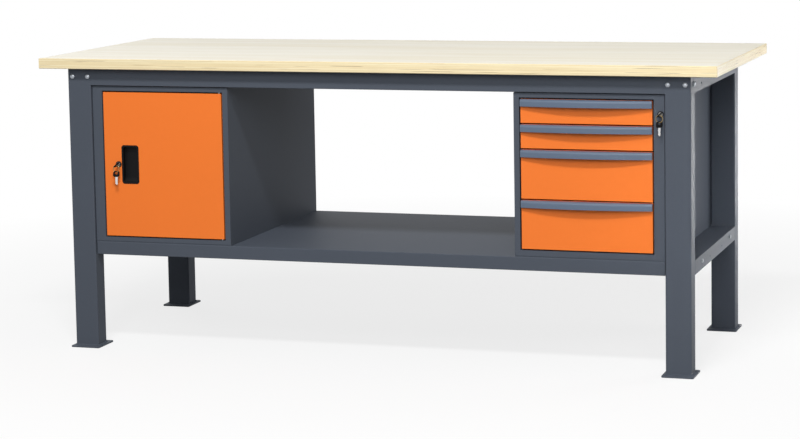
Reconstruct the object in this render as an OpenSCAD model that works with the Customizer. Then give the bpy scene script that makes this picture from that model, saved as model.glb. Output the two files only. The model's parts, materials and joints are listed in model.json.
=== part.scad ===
// Workbench with drawers: a bolted steel frame under a plywood worktop, with a tray shelf
// that carries a lockable cupboard on the left and a four-drawer cabinet on the right.
// X runs along the bench, Y from front to back and Z up. The origin is on the floor,
// under the middle of the worktop.

/* [Worktop] */
// Length of the worktop
bench_w = 2000; // [1600:10:2600]
// Depth of the worktop from front to back
bench_d = 800; // [660:10:1000]
// Height of the worktop's upper face above the floor
bench_h = 855; // [710:5:1030]
// Thickness of the worktop
top_t = 30; // [20:1:50]
// Chamfer along the worktop's edges
top_chamfer = 1.5; // [0.5:0.5:4]

/* [Legs and rails] */
// Width of a leg, seen from the front
leg_w = 72; // [60:1:90]
// Depth of a leg
leg_d = 55; // [46:1:80]
// Sheet thickness of legs and rails
leg_wall = 2; // [1.5:0.5:3]
// Outside radius of a leg's long edges
leg_radius = 3.5; // [3:0.5:5]
// Distance that the worktop passes the legs at each end
end_overhang = 77.5; // [20:0.5:140]
// Distance from the worktop's front edge back to the front legs
front_setback = 30; // [15:1:60]
// Distance from the worktop's rear edge forward to the rear legs
rear_setback = 50; // [15:1:80]
// Height of the rails that carry the worktop
rail_h = 50; // [40:1:70]
// Depth of a rail's upper flange, which the worktop lies on
rail_flange = 40; // [32:1:50]
// Width of a foot plate
foot_w = 90; // [76:1:120]
// Depth of a foot plate
foot_d = 100; // [76:1:140]
// Thickness of a foot plate
foot_t = 5; // [3:0.5:8]
// Distance that a foot plate is set towards the middle of the bench
foot_offset = 4.5; // [0:0.5:8]
// Distance from the worktop's underside down to the frame bolts
bolt_drop = 24; // [18:1:30]
// Distance of the outer frame bolt from the leg's outer face
bolt_edge = 15.5; // [11:0.5:18]
// Distance between the two frame bolts on a leg's front
bolt_pitch = 47.5; // [40:0.5:48]

/* [Shelf] */
// Height of the shelf's upper face above the floor
shelf_z = 315; // [250:1:380]
// Height of the shelf's turned-down edges
shelf_h = 38; // [25:1:45]
// Sheet thickness of the shelf
shelf_t = 1.5; // [1:0.25:2.5]

/* [Cabinets] */
// Width of each cabinet
cab_w = 423.5; // [350:0.5:520]
// Sheet thickness of the cabinets and the fronts
sheet = 1.2; // [1:0.1:2]
// Distance that the cabinet fronts lie behind the legs' front faces
cab_recess = 7; // [3:1:15]
// Front border beside the open middle of the bench
border_in = 16; // [15:0.5:25]
// Front border beside the leg, which carries the drawer lock
border_leg = 29.5; // [29:0.5:40]
// Front border above the opening
border_top = 13.5; // [12:0.5:30]
// Front border below the drawers
border_bottom = 19; // [12:0.5:40]
// Front border below the door
door_border = 15; // [12:0.5:40]
// Depth of the edge that is turned in round the opening
border_return = 18; // [14:1:18]
// Gap round the door and between the drawer fronts
front_gap = 4; // [2:0.25:4]

/* [Door] */
// Thickness of the door
door_t = 20; // [18:1:20]
// Distance from the door's hinge edge to its pivots
pivot_inset = 7; // [7:0.25:9]
// Distance from the door's face back to its pivots
pivot_depth = 5; // [4.5:0.25:5.5]
// Diameter of the pivot pins
pivot_d = 4; // [3:0.5:4.5]
// Width of the black grip let into the door
cup_w = 54; // [40:1:70]
// Height of the black grip
cup_h = 113; // [90:1:160]
// Depth of the finger space in the grip
cup_depth = 14; // [10:1:16]
// Distance from the door's free edge to the grip
cup_inset = 54; // [50:1:90]

/* [Drawers] */
// Depth of the drawer fronts
front_t = 17; // [14:1:17]
// Height of the drawer handles
handle_h = 20; // [18:1:30]
// Distance that a handle stands out at its ends
handle_end = 8; // [6:0.5:12]
// Distance that a handle stands out in the middle
handle_bow = 22; // [16:0.5:28]
// Wall thickness of a handle
handle_wall = 2.5; // [2:0.25:3]
// Wall thickness of the drawer boxes
box_wall = 1; // [0.8:0.1:1.5]
// Width of the rim folded in along the top of the drawer boxes
box_rim = 8; // [5:1:12]
// Free space behind the drawer boxes
box_rear_space = 80; // [40:5:120]
// Height of the runners
runner_h = 35; // [30:1:35]

/* [Locks] */
// Diameter of the lock's face ring
lock_face_d = 18; // [16:0.5:19]
// Diameter of the part that the key turns
plug_d = 12; // [10:0.5:12.5]
// Height of the drawer lock below the top of the opening
lock_drop = 39.5; // [30:0.5:60]
// Radius at which the crank pin drives the locking bar
crank_r = 6; // [5:0.5:6]
// Diameter of the key rings
ring_d = 20; // [20:1:30]

/* [Hidden] */
$fn = 32;
eps = 0.01;

STEEL_GREY = [0.30, 0.33, 0.37];
SHADE_GREY = [0.24, 0.26, 0.29];
ORANGE = [0.93, 0.47, 0.20];
PLYWOOD = [0.92, 0.86, 0.70];
ZINC = [0.76, 0.78, 0.80];
BLACK = [0.10, 0.10, 0.11];
BLUE_GREY = [0.36, 0.42, 0.50];

// frame
rail_top = bench_h - top_t;
rail_bottom = rail_top - rail_h;
leg_out = bench_w / 2 - end_overhang;
leg_in = leg_out - leg_w;
frame_front = -bench_d / 2 + front_setback;
frame_rear = bench_d / 2 - rear_setback;
frame_mid = (frame_front + frame_rear) / 2;
frame_d = frame_rear - frame_front;
tongue_l = 64;
side_tongue_l = leg_d - 12;
tongue_step = 3;
tongue_clear = 0.2;
rail_lower_flange = 20;
spare_hole_inset = 148;
spare_hole_d = 8;
lower_flange = 30;
weld_hole_y = 90;
weld_hole_d = 5;
bolt_z = rail_top - bolt_drop;
bolt_d = 8;
bolt_hole = 8.6;
bolt_head_w = 13;
bolt_head_h = 5.3;
bolt_crown_r = 9.3;
bolt_l = 18;
nut_h = 6.5;
bearing_d = 12.8;
bearing_t = 0.6;
side_bolt_inset = 36.8;
outer_bolts = [bolt_edge, bolt_edge + bolt_pitch];

// shelf
shelf_side_gap = 2.5;
shelf_front = frame_front + cab_recess;
shelf_rear = frame_rear - cab_recess;
shelf_end = leg_out - leg_wall;
shelf_leg_gap = 2;
shelf_lip = 14;
bend_r = 2;
shelf_screw_y = 213;
screw_d = 6;
screw_head_w = 10;
screw_head_h = 4;
screw_nut_h = 5;
shelf_screw_l = 14;
cabinet_screw_l = 12;
hat_h = 30;
hat_w = 50;
hat_brim = 18;
hat_y = 115;

// cabinets, in a frame of their own: X from the open middle to the leg, Y back from the
// cabinet's front, Z up from the shelf
cab_side_gap = 2;
cab_in = leg_in - cab_side_gap - cab_w;
cab_d = shelf_rear - shelf_front - 1;
cab_top_gap = 2;
cab_corner_r = 3;
cab_base_gap = 3;
floor_edge_h = 8;
cab_h = rail_bottom - cab_top_gap - shelf_z;
open_w = cab_w - border_in - border_leg;
open_h = cab_h - border_top - border_bottom;
open_right = border_in + open_w;
open_top = border_bottom + open_h;
door_open_h = open_top - door_border;
cab_screw_x = 60;
cab_screw_y = 90;
inner_shelf_t = 1.2;
inner_shelf_lip = 22;
inner_shelf_gap = 2;
inner_shelf_z = door_border + door_open_h * 0.47;
inner_shelf_front = 42;

// door, as the left cabinet is the mirror image of the right one: hinged beside the middle
door_w = open_w - 2 * front_gap;
door_h = door_open_h - 2 * front_gap;
door_x = border_in + front_gap;
door_z = door_border + front_gap;
door_lip = 12;
pivot_x = door_x + pivot_inset;
pivot_clear = 0.08;
bush_d = 2 * (pivot_depth - sheet) - 0.2;
bush_h = 6;
bush_recess = 0.3;
bracket_t = 2;
bracket_w = 22;
cup_x = door_x + door_w - cup_inset - cup_w;
cup_z = door_z + (door_h - cup_h) / 2;
cup_radius = 8;
cup_rim = 4;
cup_rim_t = 1.5;
cup_clear = 0.3;
cup_wall = 1.6;
door_lock_x = cup_x + cup_w + lock_face_d / 2 + 1;
door_lock_z = cup_z + cup_h / 2;
cam_w = 14;
cam_t = 2;
cam_reach = open_right + 9 - door_lock_x;

// locks
lock_face_t = 2;
lock_barrel_d = plug_d + 4;
barrel_clear = 0.2;
lock_nut_t = 3;
lock_clear = 0.08;
lock_l = 21;
key_slot_gap = 0.2;
key_bow_w = 20;
key_bow_l = 18;
key_bow_t = 2;
key_hole_d = 8;
key_hole_edge = 6;
key_blade_w = 7;
key_blade_t = 1.8;
key_blade_l = 22;
key_stand = 5;
key_tilt = 45;
ring_wire = 1.6;
ring_turn = 10;
ring_drop = 0.5;
hang_clear = 0.3;
spare_turn = 40;

// drawers, counted from the top; each height is a whole number of units
UNITS = [1, 1, 2, 2];
function units_from(n) = n < len(UNITS) ? UNITS[n] + units_from(n + 1) : 0;
unit_h = (open_h - front_gap) / units_from(0);
function front_z(n) = border_bottom + front_gap + unit_h * units_from(n);
function front_h(n) = unit_h * UNITS[n - 1] - front_gap;
front_w = open_w - 2 * front_gap;
front_x = border_in + front_gap;
runner_gap = 0.5;
runner_t = 12.7;
runner_sheet = 1.2;
runner_z = 4;
runner_front = 21;
box_w = open_w - 2 * (runner_gap + runner_t);
box_x = border_in + runner_gap + runner_t;
box_y = front_t;
box_l = cab_d - box_rear_space - front_t;
box_z = 4;
box_drop = 12;
box_rim_h = 5;
runner_l = box_l - (runner_front - box_y);
post_w = 30;
post_t = 1.5;
post_y = [45, runner_front + runner_l - 60];
handle_radius = (pow(front_w / 2, 2) + pow(handle_bow - handle_end, 2)) / (2 * (handle_bow - handle_end));
handle_round = 8;
front_lip = 14;

// central locking: a bar behind the border beside the leg, driven by a crank on the lock
crank_swing = 45;
crank_t = 2;
crank_pin_d = 5;
crank_slot_clear = 0.4;
bar_t = 3;
bar_w = 16;
bar_x = open_right + 7;
bar_y = lock_l + crank_t + 0.5;
drawer_lock_x = bar_x + bar_w / 2 + crank_r * cos(crank_swing);
drawer_lock_z = open_top - lock_drop;
tab_h = 5;
tab_reach = 8;
catch_h = 5;
catch_z = box_z + runner_h + 3;
catch_gap = 1.5;
catch_reach = 11;
catch_t = 3;
guide_t = 1.5;
guide_h = 12;
guide_clear = 0.3;
slot_r = crank_pin_d / 2 + crank_slot_clear;
slot_z = drawer_lock_z + crank_r * sin(crank_swing) - slot_r;

// ---- shared shapes ----

// Rectangle with round corners, its lower left corner at the origin
module round_rect(w, h, r) {
    translate([r, 0]) square([w - 2 * r, h]);
    translate([0, r]) square([w, h - 2 * r]);
    for (x = [r, w - r], y = [r, h - r]) translate([x, y]) circle(r);
}

// Extrudes an outline drawn in X and Z back from y0 by t
module upright(y0, t) translate([0, y0 + t, 0]) rotate([90, 0, 0]) linear_extrude(t) children();

// Extrudes an outline drawn in Y and Z from x0 by t towards +X
module sideways(x0, t) translate([x0, 0, 0]) rotate([90, 0, 90]) linear_extrude(t) children();

// A copy at each end of the bench
module both_ends() {
    children();
    mirror([1, 0, 0]) children();
}

// A copy on the front half of the frame and one on the rear half
module front_and_rear() {
    children();
    translate([0, 2 * frame_mid, 0]) mirror([0, 1, 0]) children();
}

module rear_half() translate([0, 2 * frame_mid, 0]) mirror([0, 1, 0]) children();

module hex(w, h) cylinder(d = w / cos(30), h = h, $fn = 6);

// A cabinet's own frame, on the right and mirrored on the left
module right_cabinet() translate([cab_in, shelf_front, shelf_z]) children();
module left_cabinet() mirror([1, 0, 0]) right_cabinet() children();

// ---- worktop ----

function screw_xs() = [for (i = [-2:2]) i * (leg_in - 60) / 2];
function side_screw_ys() = [frame_mid - frame_d / 4, frame_mid + frame_d / 4];
worktop_screw_inset = rail_flange - 14;

module worktop_screw_places() {
    front_and_rear() for (x = screw_xs())
        translate([x, frame_front + worktop_screw_inset, rail_top]) children();
    both_ends() for (y = side_screw_ys())
        translate([leg_out - worktop_screw_inset, y, rail_top]) children();
}

worktop_screw_l = 20;
worktop_screw_d = 5;

// Rectangle standing on the X axis and centred on it, with its corners chamfered
module chamfered_slab(w, h, c) polygon([
    [-w / 2 + c, 0], [w / 2 - c, 0], [w / 2, c], [w / 2, h - c],
    [w / 2 - c, h], [-w / 2 + c, h], [-w / 2, h - c], [-w / 2, c],
]);

module worktop() color(PLYWOOD) difference() {
    translate([0, 0, rail_top]) intersection() {
        upright(-bench_d / 2, bench_d) chamfered_slab(bench_w, top_t, top_chamfer);
        sideways(-bench_w / 2, bench_w) chamfered_slab(bench_d, top_t, top_chamfer);
    }
    worktop_screw_places()
        translate([0, 0, -eps]) cylinder(d = worktop_screw_d + 0.1, h = worktop_screw_l + 0.2);
}

module worktop_screws() color(ZINC) worktop_screw_places() {
    translate([0, 0, -leg_wall - 3.5]) hex(8, 3.5);
    translate([0, 0, -leg_wall - eps]) cylinder(d = worktop_screw_d, h = leg_wall + worktop_screw_l);
}

// ---- legs ----

// Front right leg; two corners are notched for the rails, and it is drilled for the bolts
module leg_solid() difference() {
    translate([leg_in, frame_front, foot_t]) linear_extrude(rail_top - foot_t) difference() {
        round_rect(leg_w, leg_d, leg_radius);
        translate([leg_wall, leg_wall])
            round_rect(leg_w - 2 * leg_wall, leg_d - 2 * leg_wall, leg_radius - leg_wall);
    }
    // notch for the front rail's web and tongue
    translate([leg_in - 1, frame_front - 1, rail_bottom])
        cube([1 + leg_radius, 1 + 2 * leg_wall + tongue_clear, rail_h + 1]);
    // notch for the side rail's web and tongue
    translate([leg_out - 2 * leg_wall - tongue_clear, frame_front + leg_d - leg_radius, rail_bottom])
        cube([1 + 2 * leg_wall + tongue_clear, 1 + leg_radius, rail_h + 1]);
    for (inset = outer_bolts) translate([leg_out - inset, frame_front - 1, bolt_z])
        rotate([-90, 0, 0]) cylinder(d = bolt_hole, h = leg_wall + 2);
    translate([leg_out - leg_wall - 1, frame_front + side_bolt_inset, bolt_z])
        rotate([0, 90, 0]) cylinder(d = bolt_hole, h = leg_wall + 2);
}

module front_legs() color(STEEL_GREY) both_ends() leg_solid();
module rear_legs() color(SHADE_GREY) both_ends() rear_half() leg_solid();

module foot_plates() color(STEEL_GREY) both_ends() front_and_rear()
    translate([(leg_in + leg_out - foot_w) / 2 - 0.5,
               frame_front + leg_d / 2 - foot_d / 2 + foot_offset, 0])
        linear_extrude(foot_t) round_rect(foot_w, foot_d, 5);

// ---- rails ----

// What a bend leaves free at an outside corner of a folded sheet
module bend_cut(r) difference() {
    translate([-1, -1]) square(r + 1);
    translate([r, r]) circle(r);
}

// Channel section in Y and Z, its web at the front
module rail_section(lower) {
    translate([0, rail_bottom]) square([leg_wall, rail_h]);
    translate([0, rail_top - leg_wall]) square([rail_flange, leg_wall]);
    translate([0, rail_bottom]) square([lower, leg_wall]);
}

module front_rail_solid() difference() {
    union() {
        translate([0, frame_front, 0]) sideways(-leg_in, 2 * leg_in) difference() {
            rail_section(rail_lower_flange);
            translate([0, rail_bottom]) bend_cut(bend_r);
        }
        both_ends() translate([leg_in - eps, frame_front, rail_bottom])
            cube([leg_radius + eps, leg_wall, rail_h]);
        both_ends() translate([leg_in - tongue_step, frame_front, rail_bottom + leg_wall]) {
            cube([tongue_step, 2 * leg_wall, rail_h - 2 * leg_wall]);
            translate([0, leg_wall, 0])
                cube([tongue_step + tongue_l, leg_wall, rail_h - 2 * leg_wall]);
        }
    }
    both_ends() for (inset = outer_bolts) translate([leg_out - inset, frame_front, bolt_z])
        rotate([-90, 0, 0]) cylinder(d = bolt_hole, h = 3 * leg_wall);
    worktop_screw_places() translate([0, 0, -leg_wall - 1]) cylinder(d = 6.4, h = leg_wall + 2);
}

module front_top_rail() color(STEEL_GREY) front_rail_solid();
module rear_top_rail() color(SHADE_GREY) rear_half() front_rail_solid();

side_rail_l = frame_d - 2 * leg_d;

// Rail between the tops of the two right legs, its web flush with their outer faces
module side_rail_solid() difference() {
    union() {
        translate([leg_out, frame_front + leg_d, 0]) mirror([1, 0, 0]) rotate([90, 0, 0])
            mirror([0, 0, 1]) linear_extrude(side_rail_l) rail_section(rail_lower_flange);
        front_and_rear() translate([leg_out - leg_wall, frame_front + leg_d - leg_radius, rail_bottom])
            cube([leg_wall, leg_radius + eps, rail_h]);
        front_and_rear() translate([leg_out - 2 * leg_wall, frame_front + leg_d, rail_bottom + leg_wall]) {
            cube([2 * leg_wall, tongue_step, rail_h - 2 * leg_wall]);
            translate([0, -side_tongue_l, 0])
                cube([leg_wall, side_tongue_l + tongue_step, rail_h - 2 * leg_wall]);
        }
    }
    front_and_rear() {
        translate([leg_out - 3 * leg_wall, frame_front + side_bolt_inset, bolt_z])
            rotate([0, 90, 0]) cylinder(d = bolt_hole, h = 4 * leg_wall);
        translate([leg_out - 2 * leg_wall, frame_front + spare_hole_inset, bolt_z - spare_hole_d])
            rotate([0, 90, 0]) cylinder(d = spare_hole_d, h = 3 * leg_wall);
    }
    worktop_screw_places() translate([0, 0, -leg_wall - 1]) cylinder(d = 6.4, h = leg_wall + 2);
}

module side_top_rails() color(STEEL_GREY) both_ends() side_rail_solid();

lower_rail_h = shelf_h + leg_wall;

module shelf_screw_places() both_ends()
    for (y = [-shelf_screw_y, shelf_screw_y])
        translate([leg_out, frame_mid + y, shelf_z - 16]) rotate([0, 90, 0]) children();

// Angles that are welded between the legs; the shelf lies on their lower flanges
module side_lower_rails() color(STEEL_GREY) difference() {
    both_ends() translate([0, frame_front + leg_d, shelf_z - lower_rail_h]) {
        translate([leg_out - leg_wall, 0, 0]) cube([leg_wall, side_rail_l, lower_rail_h]);
        translate([leg_out - lower_flange, 0, 0]) cube([lower_flange, side_rail_l, leg_wall]);
    }
    shelf_screw_places() translate([0, 0, -3 * leg_wall]) cylinder(d = screw_d + 0.6, h = 5 * leg_wall);
    both_ends() for (y = [-weld_hole_y, weld_hole_y]) translate([leg_out, frame_mid + y, shelf_z - 24])
        rotate([0, 90, 0]) translate([0, 0, -2 * leg_wall]) cylinder(d = weld_hole_d, h = 4 * leg_wall);
}

// ---- shelf ----

module shelf_plan() {
    translate([-leg_in + shelf_side_gap, shelf_front])
        square([2 * (leg_in - shelf_side_gap), shelf_rear - shelf_front]);
    translate([-shelf_end, frame_front + leg_d + shelf_leg_gap])
        square([2 * shelf_end, side_rail_l - 2 * shelf_leg_gap]);
}

module cabinet_screw_places() both_ends()
    for (x = [cab_in + cab_screw_x, cab_in + cab_w - cab_screw_x],
         y = [shelf_front + cab_screw_y, shelf_front + cab_d - cab_screw_y])
        translate([x, y, shelf_z]) children();

module lower_shelf() color(STEEL_GREY) difference() {
    union() {
        translate([0, 0, shelf_z - shelf_t]) linear_extrude(shelf_t) shelf_plan();
        front_and_rear() translate([-leg_in + shelf_side_gap, shelf_front, shelf_z - shelf_h]) {
            cube([2 * (leg_in - shelf_side_gap), shelf_t, shelf_h]);
            cube([2 * (leg_in - shelf_side_gap), shelf_lip, shelf_t]);
        }
        both_ends() translate([shelf_end - shelf_t, frame_front + leg_d + shelf_leg_gap,
                               shelf_z - shelf_h])
            cube([shelf_t, side_rail_l - 2 * shelf_leg_gap, shelf_h]);
        // edges turned down beside the legs
        both_ends() front_and_rear()
            translate([leg_in - shelf_side_gap - shelf_t, shelf_front, shelf_z - shelf_h])
                cube([shelf_t, frame_front + leg_d + shelf_leg_gap - shelf_front, shelf_h]);
    }
    front_and_rear() translate([0, shelf_front, 0]) sideways(-leg_in, 2 * leg_in) {
        translate([0, shelf_z]) mirror([0, 1]) bend_cut(bend_r);
        translate([0, shelf_z - shelf_h]) bend_cut(bend_r);
    }
    shelf_screw_places() translate([0, 0, -4 * leg_wall]) cylinder(d = screw_d + 0.6, h = 5 * leg_wall);
    cabinet_screw_places() translate([0, 0, -2 * shelf_t]) cylinder(d = screw_d + 0.6, h = 3 * shelf_t);
}

// Hat sections welded under the shelf
module shelf_stiffeners() color(SHADE_GREY) for (y = [frame_mid - hat_y, frame_mid + hat_y])
    translate([0, y, shelf_z - shelf_t]) sideways(-leg_in + 40, 2 * leg_in - 80) {
        for (s = [-1, 1]) {
            translate([s * (hat_w / 2 - shelf_t / 2) - shelf_t / 2, -hat_h]) square([shelf_t, hat_h]);
            translate([s * (hat_w + hat_brim - shelf_t) / 2 - hat_brim / 2, -shelf_t])
                square([hat_brim, shelf_t]);
        }
        translate([-hat_w / 2, -hat_h]) square([hat_w, shelf_t]);
    }

module shelf_screws() color(ZINC) shelf_screw_places() {
    hex(screw_head_w, screw_head_h);
    translate([0, 0, -shelf_screw_l]) cylinder(d = screw_d, h = shelf_screw_l + eps);
    difference() {
        translate([0, 0, -leg_wall - shelf_t - screw_nut_h]) hex(screw_head_w, screw_nut_h);
        translate([0, 0, -20]) cylinder(d = screw_d - 1, h = 20);
    }
}

module cabinet_screws() color(ZINC) cabinet_screw_places() {
    translate([0, 0, sheet]) hex(screw_head_w, screw_head_h);
    translate([0, 0, -cabinet_screw_l]) cylinder(d = screw_d, h = cabinet_screw_l + sheet + eps);
}

// ---- frame bolts ----

module front_bolt_places() both_ends() front_and_rear()
    for (inset = outer_bolts)
        translate([leg_out - inset, frame_front, bolt_z]) rotate([90, 0, 0]) children();

module side_bolt_places() both_ends() front_and_rear()
    translate([leg_out, frame_front + side_bolt_inset, bolt_z]) rotate([0, 90, 0]) children();

// Bolt, its head outside, with a round bearing face under the hexagon
module frame_bolt() {
    cylinder(d = bearing_d, h = bearing_t);
    translate([0, 0, bearing_t - eps]) intersection() {
        hex(bolt_head_w, bolt_head_h);
        translate([0, 0, bolt_head_h - bolt_crown_r]) sphere(r = bolt_crown_r);
    }
    translate([0, 0, -bolt_l]) cylinder(d = bolt_d, h = bolt_l + eps);
}

module frame_nut() translate([0, 0, -2 * leg_wall - nut_h]) difference() {
    rotate(30) hex(bolt_head_w, nut_h);
    translate([0, 0, -1]) cylinder(d = bolt_d + 0.1, h = nut_h + 2);
}

module frame_bolts() color(ZINC) {
    front_bolt_places() frame_bolt();
    side_bolt_places() frame_bolt();
}

module frame_nuts() color(ZINC) {
    front_bolt_places() frame_nut();
    side_bolt_places() frame_nut();
}

// ---- cabinet casings, in the cabinet's own frame ----

module opening_outline(bottom, margin)
    translate([border_in - margin, bottom - margin])
        square([open_w + 2 * margin, open_top - bottom + 2 * margin]);

// Front of a cabinet, with its opening's lower edge at the given height
module front_frame(bottom) {
    upright(0, sheet) difference() {
        translate([0, cab_base_gap]) round_rect(cab_w, cab_h - cab_base_gap, cab_corner_r);
        opening_outline(bottom, 0);
    }
    upright(sheet - eps, border_return) difference() {
        opening_outline(bottom, sheet);
        opening_outline(bottom, 0);
    }
}

module side_walls() for (x = [0, cab_w - sheet])
    translate([x, sheet, 0]) cube([sheet, cab_d - sheet, cab_h]);

// Both have an edge turned up or down behind the front frame
module floor_and_roof() difference() {
    for (top = [false, true]) translate([sheet, sheet, top ? cab_h : 0]) mirror([0, 0, top ? 1 : 0]) {
        cube([cab_w - 2 * sheet, cab_d - 2 * sheet, sheet]);
        cube([cab_w - 2 * sheet, sheet, floor_edge_h]);
    }
    for (x = [cab_screw_x, cab_w - cab_screw_x], y = [cab_screw_y, cab_d - cab_screw_y])
        translate([x, y, -1]) cylinder(d = screw_d + 0.6, h = 4);
}

module back_panel() translate([sheet, cab_d - sheet, 0]) cube([cab_w - 2 * sheet, sheet, cab_h]);

module cupboard_front_frame() color(STEEL_GREY) left_cabinet() difference() {
    front_frame(door_border);
    for (top = [false, true]) pivot_place(top) cylinder(d = pivot_d + pivot_clear, h = border_top);
}
module cupboard_side_walls() color(SHADE_GREY) left_cabinet() side_walls();
module cupboard_floor_and_roof() color(SHADE_GREY) left_cabinet() floor_and_roof();
module cupboard_back() color(SHADE_GREY) left_cabinet() back_panel();

// Loose shelf with edges folded down; four clips hold it
module cupboard_shelf() color(STEEL_GREY) left_cabinet()
    translate([sheet + inner_shelf_gap, inner_shelf_front, inner_shelf_z]) {
        w = cab_w - 2 * (sheet + inner_shelf_gap);
        d = cab_d - sheet - inner_shelf_gap - inner_shelf_front;
        cube([w, d, inner_shelf_t]);
        for (y = [0, d - inner_shelf_t])
            translate([0, y, -inner_shelf_lip]) cube([w, inner_shelf_t, inner_shelf_lip + eps]);
        for (y = [inner_shelf_t, d - inner_shelf_t - 10])
            translate([0, y, -inner_shelf_lip]) cube([w, 10, inner_shelf_t]);
    }

module cupboard_shelf_clips() color(ZINC) left_cabinet()
    for (y = [inner_shelf_front + 60, cab_d - 80]) {
        translate([sheet, y, inner_shelf_z - 14]) clip();
        translate([cab_w - sheet, y, inner_shelf_z - 14]) mirror([1, 0, 0]) clip();
    }

// Angle clip hooked on the side wall: a plate against the wall and a ledge under the shelf
module clip() {
    cube([1.5, 20, 14]);
    translate([0, 0, 12.5]) cube([14, 20, 1.5]);
    hull() {
        translate([0, 9, 4]) cube([1.5, 2, 8.6]);
        translate([0, 9, 12.5]) cube([11, 2, 0.1]);
    }
}

// ---- door, in the cabinet's own frame ----

module pivot_place(top) translate([pivot_x, pivot_depth, top ? door_z + door_h : door_z])
    mirror([0, 0, top ? 0 : 1]) children();

// Brackets welded behind the borders, each with the pin that the door turns on
module door_pivots() color(ZINC) left_cabinet() for (top = [false, true]) pivot_place(top) {
    translate([-pivot_x + border_in, sheet - pivot_depth, front_gap + sheet])
        cube([bracket_w, 24, bracket_t]);
    translate([0, 0, -bush_h + 1]) cylinder(d = pivot_d, h = bush_h + front_gap + sheet);
}

module door_bushes() color(BLACK) left_cabinet() for (top = [false, true]) pivot_place(top)
    translate([0, 0, -bush_h - bush_recess]) difference() {
        cylinder(d = bush_d, h = bush_h);
        translate([0, 0, 1]) cylinder(d = pivot_d + 2 * pivot_clear, h = bush_h);
    }

module door_panel() color(ORANGE) left_cabinet() difference() {
    union() {
        translate([door_x, 0, door_z]) upright(0, sheet) square([door_w, door_h]);
        translate([door_x, 0, door_z]) upright(sheet - eps, door_t - sheet) difference() {
            square([door_w, door_h]);
            translate([sheet, sheet]) square([door_w - 2 * sheet, door_h - 2 * sheet]);
        }
        translate([door_x, 0, door_z]) upright(door_t - sheet - eps, sheet) difference() {
            square([door_w, door_h]);
            translate([door_lip, door_lip]) square([door_w - 2 * door_lip, door_h - 2 * door_lip]);
        }
        // blocks that hold the bushes
        for (top = [false, true]) pivot_place(top)
            translate([-pivot_inset, -pivot_depth, -bush_h - bush_recess])
                cube([2 * pivot_inset + 2, pivot_depth + bush_d, bush_h + bush_recess]);
    }
    for (top = [false, true]) pivot_place(top)
        translate([0, 0, -bush_h - bush_recess]) cylinder(d = bush_d, h = bush_h + 2);
    cup_hole = cup_rim - cup_clear;
    translate([cup_x + cup_hole, 0, cup_z + cup_hole]) upright(-1, 5)
        round_rect(cup_w - 2 * cup_hole, cup_h - 2 * cup_hole, cup_radius - cup_hole / 2);
    translate([door_lock_x, -1, door_lock_z]) rotate([-90, 0, 0])
        cylinder(d = lock_barrel_d, h = 5);
}

// Moulded grip: a rim on the door's face and a cup behind it with a ramped floor
module door_grip() color(BLACK) left_cabinet() translate([cup_x, 0, cup_z]) difference() {
    union() {
        upright(-cup_rim_t, cup_rim_t) round_rect(cup_w, cup_h, cup_radius);
        translate([cup_rim, 0, cup_rim]) upright(-eps, cup_depth + cup_wall - cup_rim_t)
            round_rect(cup_w - 2 * cup_rim, cup_h - 2 * cup_rim, cup_radius - cup_rim / 2);
    }
    translate([cup_rim + cup_wall, 0, cup_rim + cup_wall]) intersection() {
        upright(-cup_rim_t - 1, cup_depth + 1)
            round_rect(cup_w - 2 * (cup_rim + cup_wall), cup_h - 2 * (cup_rim + cup_wall),
                       cup_radius - cup_rim);
        sideways(-1, cup_w) polygon([[-cup_rim_t - 1, 0], [cup_depth / 3, 0],
            [cup_depth - cup_rim_t, cup_depth], [cup_depth - cup_rim_t, cup_h],
            [-cup_rim_t - 1, cup_h]]);
    }
}

// ---- locks and keys: their own frame has Y back from the sheet that the lock is in ----

module turned(d, y0, y1) translate([0, y0, 0]) rotate([-90, 0, 0]) cylinder(d = d, h = y1 - y0);

// Face ring, barrel and the nut behind the sheet, with a bore for the plug
module lock_housing() difference() {
    union() {
        turned(lock_face_d, -lock_face_t, 0);
        turned(lock_barrel_d - barrel_clear, -lock_face_t, lock_l - barrel_clear);
        turned(lock_face_d, sheet, sheet + lock_nut_t);
    }
    turned(plug_d + 2 * lock_clear, -lock_face_t - 1, lock_l + 1);
}

// Plug with its key slot; it ends level with the housing
module lock_plug() difference() {
    turned(plug_d, -lock_face_t, lock_l);
    rotate([0, key_tilt, 0])
        translate([-key_blade_t / 2, -lock_face_t - 1, -key_blade_w / 2 - key_slot_gap])
            cube([key_blade_t, key_blade_l - key_stand + 1.5, key_blade_w + 2 * key_slot_gap]);
}

// Key drawn with its stop at the origin: the blade runs to +X and the bow to -X
module key_bow() difference() {
    translate([-key_bow_l, -key_bow_w / 2]) round_rect(key_bow_l, key_bow_w, 6);
    translate([key_hole_edge - key_bow_l, 0]) circle(d = key_hole_d);
}

module key_blade() translate([-eps, -key_blade_w / 2]) difference() {
    square([key_blade_l, key_blade_w]);
    for (i = [0:3]) translate([9 + 4 * i, key_blade_w]) rotate(45)
        square(1.8 + 0.6 * (i % 2), center = true);
    translate([key_blade_l, 0]) rotate(45) square(4, center = true);
}

// Distance from the sheet forward to the hole in the bow of a key in the lock
key_stop = lock_face_t + key_stand;
ring_at = key_stop + key_bow_l - key_hole_edge;

module lock_key() rotate([0, key_tilt, 0]) translate([0, -key_stop, 0]) {
    sideways(-key_blade_t / 2, key_blade_t) key_blade();
    sideways(-key_bow_t / 2, key_bow_t) key_bow();
}

// Ring that hangs through the hole in the bow, nearly level with the front
module key_ring() translate([0, -ring_at, -ring_drop - ring_d / 2]) rotate([90, 0, -ring_turn])
    rotate_extrude() translate([ring_d / 2, 0]) circle(d = ring_wire);

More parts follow.
